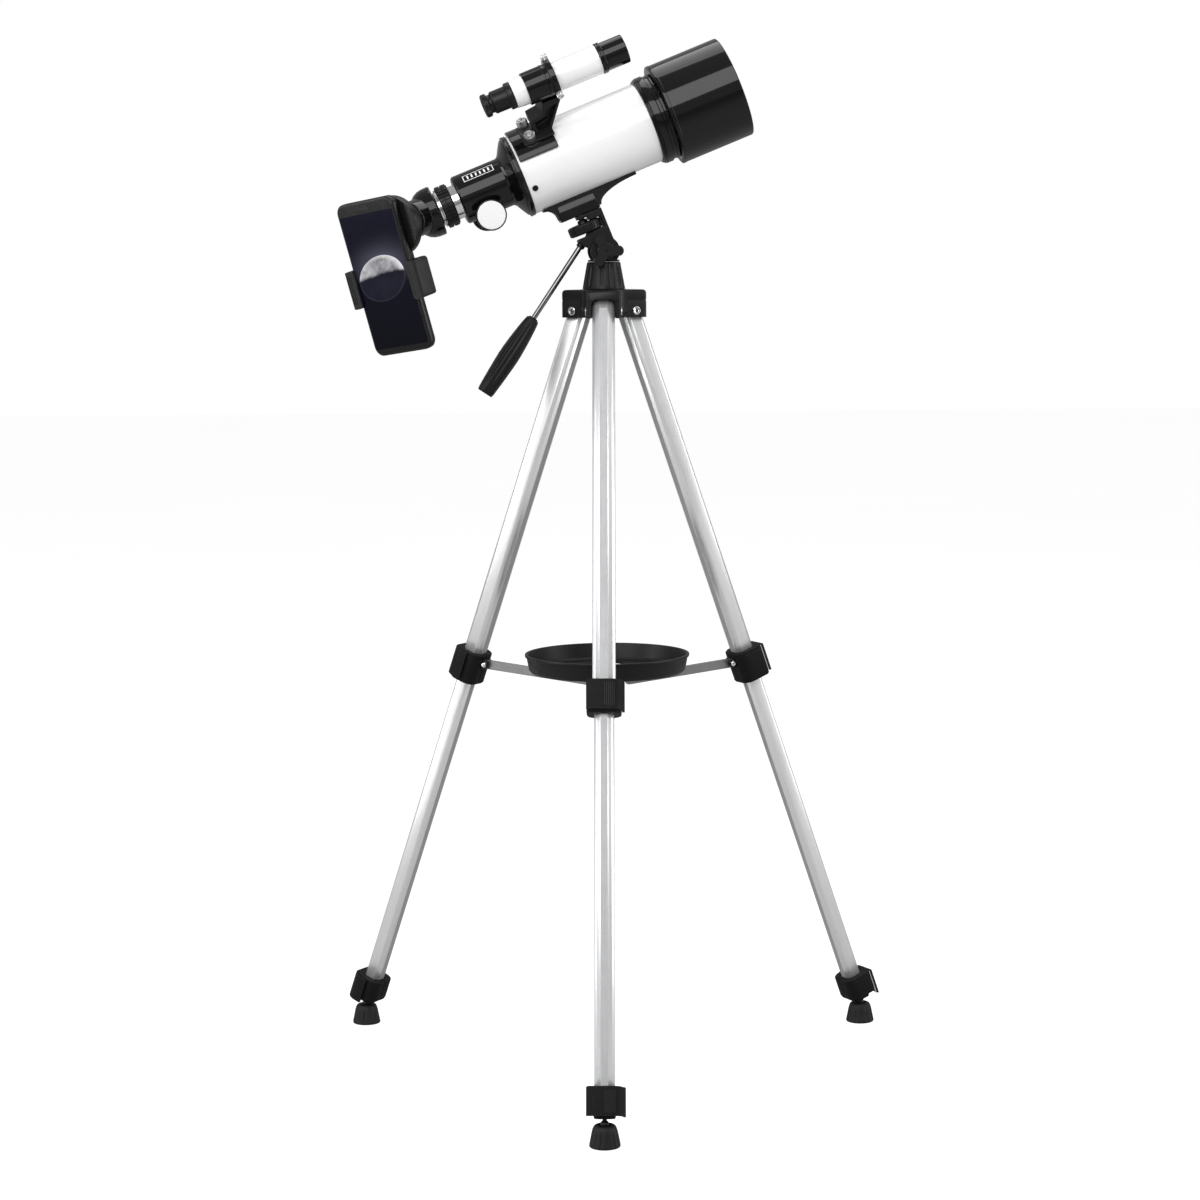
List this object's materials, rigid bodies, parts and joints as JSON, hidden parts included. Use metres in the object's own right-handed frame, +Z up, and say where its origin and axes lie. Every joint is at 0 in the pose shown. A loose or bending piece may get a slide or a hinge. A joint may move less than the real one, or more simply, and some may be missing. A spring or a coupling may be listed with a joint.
{
  "type": "telescope on tripod",
  "caption": "Small refractor telescope with finder and phone adapter on a folding tripod; tube pans and tilts, legs extend, focuser racks in and out.",
  "frame": {"origin": "on the floor under the middle of the object's outline", "axes": "+Z up; +X to the right with the tube pointing to +X and up; -Y toward the side that carries the front leg"},
  "size_m": [0.5703, 0.4963, 1.0312],
  "materials": {
    "black_plastic": "satin moulded",
    "gloss_black": "gloss",
    "black_rubber": "matt",
    "white_enamel": "gloss enamel",
    "aluminium": "satin anodised",
    "strut_metal": "brushed",
    "chrome": "polished",
    "lens_glass": "coated",
    "phone_glass": "glass over black"
  },
  "bodies": {
    "hub": {"tripod_hub": "black_plastic", "head_base_cone": "black_plastic", "leg_rivet_front": "chrome", "leg_rivet_right": "chrome", "leg_rivet_left": "chrome"},
    "leg_front": {"upper_leg_tube_front": "aluminium", "upper_clamp_body_front": "black_plastic"},
    "upper_lever_front": {"upper_clamp_lever_front": "black_plastic"},
    "middle_leg_front": {"middle_leg_tube_front": "aluminium", "lower_clamp_body_front": "black_plastic"},
    "lower_lever_front": {"lower_clamp_lever_front": "black_plastic"},
    "lower_leg_front": {"lower_leg_tube_front": "aluminium"},
    "foot_front": {"rubber_foot_front": "black_rubber"},
    "strut_front": {"spreader_strut_front": "strut_metal"},
    "leg_right": {"upper_leg_tube_right": "aluminium", "upper_clamp_body_right": "black_plastic"},
    "upper_lever_right": {"upper_clamp_lever_right": "black_plastic"},
    "middle_leg_right": {"middle_leg_tube_right": "aluminium", "lower_clamp_body_right": "black_plastic"},
    "lower_lever_right": {"lower_clamp_lever_right": "black_plastic"},
    "lower_leg_right": {"lower_leg_tube_right": "aluminium"},
    "foot_right": {"rubber_foot_right": "black_rubber"},
    "strut_right": {"spreader_strut_right": "strut_metal"},
    "leg_left": {"upper_leg_tube_left": "aluminium", "upper_clamp_body_left": "black_plastic"},
    "upper_lever_left": {"upper_clamp_lever_left": "black_plastic"},
    "middle_leg_left": {"middle_leg_tube_left": "aluminium", "lower_clamp_body_left": "black_plastic"},
    "lower_lever_left": {"lower_clamp_lever_left": "black_plastic"},
    "lower_leg_left": {"lower_leg_tube_left": "aluminium"},
    "foot_left": {"rubber_foot_left": "black_rubber"},
    "strut_left": {"spreader_strut_left": "strut_metal"},
    "tray": {"accessory_tray": "black_plastic"},
    "pan_head": {"tilt_housing": "black_plastic"},
    "tilt_head": {"platform": "black_plastic", "tube_saddle": "gloss_black", "main_tube": "white_enamel", "front_cell": "gloss_black", "objective_lens": "lens_glass", "dew_shield": "gloss_black", "focuser_housing": "gloss_black", "pinion_cover": "black_plastic", "finder_bracket": "black_plastic", "finder_tube": "white_enamel", "finder_hood": "gloss_black"},
    "tilt_knob": {"tilt_lock_knob": "black_plastic"},
    "mount_wheel": {"platform_thumbwheel": "black_plastic"},
    "handle": {"handle_rod": "chrome", "handle_grip": "black_plastic"},
    "drawtube": {"drawtube": "chrome", "drawtube_ring": "black_plastic"},
    "focus_shaft": {"focus_pinion": "chrome", "focus_knob_near": "chrome", "focus_knob_far": "chrome"},
    "diagonal": {"diagonal_body": "gloss_black"},
    "eyepiece_head": {"eyepiece": "black_plastic", "phone_adapter": "black_plastic", "phone": "phone_glass"},
    "phone_clip": {"phone_jaw": "black_plastic"},
    "finder_focus_tube": {"finder_eyepiece": "black_plastic"}
  },
  "joints": [
    {"name": "leg_fold_front", "type": "hinge", "parent": "hub", "child": "leg_front", "pos_m": [0.0001, 0.0451, 0.7637], "axis": [1, 0, 0], "range_deg": [0, 5.5]},
    {"name": "upper_clamp_front", "type": "hinge", "parent": "leg_front", "child": "upper_lever_front", "pos_m": [-0.0149, -0.10845, 0.40689], "axis": [0, -0.3509, -0.9364], "range_deg": [0, 95]},
    {"name": "lower_clamp_front", "type": "hinge", "parent": "middle_leg_front", "child": "lower_lever_front", "pos_m": [-0.0149, -0.24283, 0.04824], "axis": [0, -0.3509, -0.9364], "range_deg": [0, 95]},
    {"name": "middle_extend_front", "type": "slide", "parent": "leg_front", "child": "middle_leg_front", "axis": [0, -0.3509, -0.9364], "range_m": [-0.33, 0]},
    {"name": "lower_extend_front", "type": "slide", "parent": "middle_leg_front", "child": "lower_leg_front", "axis": [0, -0.3509, -0.9364], "range_m": [0, 0.33]},
    {"name": "foot_swivel_front", "type": "hinge", "parent": "lower_leg_front", "child": "foot_front", "pos_m": [0.0001, -0.23327, 0.02074], "axis": [1, 0, 0], "range_deg": [-10, 10]},
    {"name": "strut_fold_front", "type": "hinge", "parent": "leg_front", "child": "strut_front", "pos_m": [0.0001, -0.0731, 0.399], "axis": [1, 0, 0], "range_deg": [0, 44]},
    {"name": "leg_fold_right", "type": "hinge", "parent": "hub", "child": "leg_right", "pos_m": [0.02383, 0.0862, 0.7637], "axis": [-0.5, 0.866, 0], "range_deg": [0, 5.5]},
    {"name": "upper_clamp_right", "type": "hinge", "parent": "leg_right", "child": "upper_lever_right", "pos_m": [0.16431, 0.14999, 0.40689], "axis": [0.3038, 0.1754, -0.9364], "range_deg": [0, 95]},
    {"name": "lower_clamp_right", "type": "hinge", "parent": "middle_leg_right", "child": "lower_lever_right", "pos_m": [0.28069, 0.21718, 0.04824], "axis": [0.3038, 0.1754, -0.9364], "range_deg": [0, 95]},
    {"name": "middle_extend_right", "type": "slide", "parent": "leg_right", "child": "middle_leg_right", "axis": [0.3038, 0.1754, -0.9364], "range_m": [-0.33, 0]},
    {"name": "lower_extend_right", "type": "slide", "parent": "middle_leg_right", "child": "lower_leg_right", "axis": [0.3038, 0.1754, -0.9364], "range_m": [0, 0.33]},
    {"name": "foot_swivel_right", "type": "hinge", "parent": "lower_leg_right", "child": "foot_right", "pos_m": [0.26491, 0.22539, 0.02074], "axis": [-0.5, 0.866, 0], "range_deg": [-10, 10]},
    {"name": "strut_fold_right", "type": "hinge", "parent": "leg_right", "child": "strut_right", "pos_m": [0.12619, 0.1453, 0.399], "axis": [-0.5, 0.866, 0], "range_deg": [0, 44]},
    {"name": "leg_fold_left", "type": "hinge", "parent": "hub", "child": "leg_left", "pos_m": [-0.02363, 0.0862, 0.7637], "axis": [-0.5, -0.866, 0], "range_deg": [0, 5.5]},
    {"name": "upper_clamp_left", "type": "hinge", "parent": "leg_left", "child": "upper_lever_left", "pos_m": [-0.14911, 0.17597, 0.40689], "axis": [-0.3038, 0.1754, -0.9364], "range_deg": [0, 95]},
    {"name": "lower_clamp_left", "type": "hinge", "parent": "middle_leg_left", "child": "lower_lever_left", "pos_m": [-0.26549, 0.24316, 0.04824], "axis": [-0.3038, 0.1754, -0.9364], "range_deg": [0, 95]},
    {"name": "middle_extend_left", "type": "slide", "parent": "leg_left", "child": "middle_leg_left", "axis": [-0.3038, 0.1754, -0.9364], "range_m": [-0.33, 0]},
    {"name": "lower_extend_left", "type": "slide", "parent": "middle_leg_left", "child": "lower_leg_left", "axis": [-0.3038, 0.1754, -0.9364], "range_m": [0, 0.33]},
    {"name": "foot_swivel_left", "type": "hinge", "parent": "lower_leg_left", "child": "foot_left", "pos_m": [-0.26471, 0.22539, 0.02074], "axis": [-0.5, -0.866, 0], "range_deg": [-10, 10]},
    {"name": "strut_fold_left", "type": "hinge", "parent": "leg_left", "child": "strut_left", "pos_m": [-0.12599, 0.1453, 0.399], "axis": [-0.5, -0.866, 0], "range_deg": [0, 44]},
    {"name": "tray_lift", "type": "slide", "parent": "hub", "child": "tray", "axis": [0, 0, 1], "range_m": [0, 0.084]},
    {"name": "pan", "type": "hinge", "parent": "hub", "child": "pan_head", "pos_m": [0.0001, 0.0725, 0.823], "axis": [0, 0, 1], "continuous": true},
    {"name": "tilt", "type": "hinge", "parent": "pan_head", "child": "tilt_head", "pos_m": [0.0001, 0.0725, 0.823], "axis": [-0.1288, 0.9917, 0], "range_deg": [-6, 50]},
    {"name": "tilt_lock", "type": "hinge", "parent": "pan_head", "child": "tilt_knob", "pos_m": [0.0001, 0.0725, 0.823], "axis": [0.1288, -0.9917, 0], "range_deg": [0, 270]},
    {"name": "mount_screw", "type": "hinge", "parent": "tilt_head", "child": "mount_wheel", "pos_m": [-0.01821, 0.07012, 0.84574], "axis": [-0.3715, -0.0483, 0.9272], "range_deg": [-180, 180]},
    {"name": "handle_twist", "type": "hinge", "parent": "tilt_head", "child": "handle", "pos_m": [-0.02165, 0.06968, 0.82924], "axis": [-0.5545, -0.072, -0.829], "range_deg": [-90, 90]},
    {"name": "focus", "type": "slide", "parent": "tilt_head", "child": "drawtube", "axis": [-0.9195, -0.1194, -0.3746], "range_m": [-0.005, 0.055]},
    {"name": "focus_knobs", "type": "hinge", "parent": "tilt_head", "child": "focus_shaft", "pos_m": [-0.11252, 0.05787, 0.85876], "axis": [0.1288, -0.9917, 0], "range_deg": [-60, 540]},
    {"name": "diagonal_turn", "type": "hinge", "parent": "drawtube", "child": "diagonal", "pos_m": [-0.17175, 0.05018, 0.86084], "axis": [0.9195, 0.1194, 0.3746], "continuous": true},
    {"name": "eyepiece_turn", "type": "hinge", "parent": "diagonal", "child": "eyepiece_head", "pos_m": [-0.17175, 0.05018, 0.86084], "axis": [-0.573, -0.7865, -0.2306], "continuous": true},
    {"name": "phone_clip_open", "type": "slide", "parent": "eyepiece_head", "child": "phone_clip", "axis": [-0.7819, 0.6089, -0.1339], "range_m": [0, 0.015], "stiffness_N_per_m": 150, "springref_m": -0.02},
    {"name": "finder_focus", "type": "slide", "parent": "tilt_head", "child": "finder_focus_tube", "axis": [-0.9195, -0.1194, -0.3746], "range_m": [0, 0.006]}
  ],
  "couplings": [
    {"joint": "strut_fold_front", "follows": "leg_fold_front", "ratio": 8},
    {"joint": "leg_fold_right", "follows": "leg_fold_front", "ratio": 1},
    {"joint": "strut_fold_right", "follows": "leg_fold_front", "ratio": 8},
    {"joint": "leg_fold_left", "follows": "leg_fold_front", "ratio": 1},
    {"joint": "strut_fold_left", "follows": "leg_fold_front", "ratio": 8},
    {"joint": "tray_lift", "follows": "leg_fold_front", "m_per_rad": 0.8746},
    {"joint": "focus_knobs", "follows": "focus", "rad_per_m": 161.3}
  ]
}
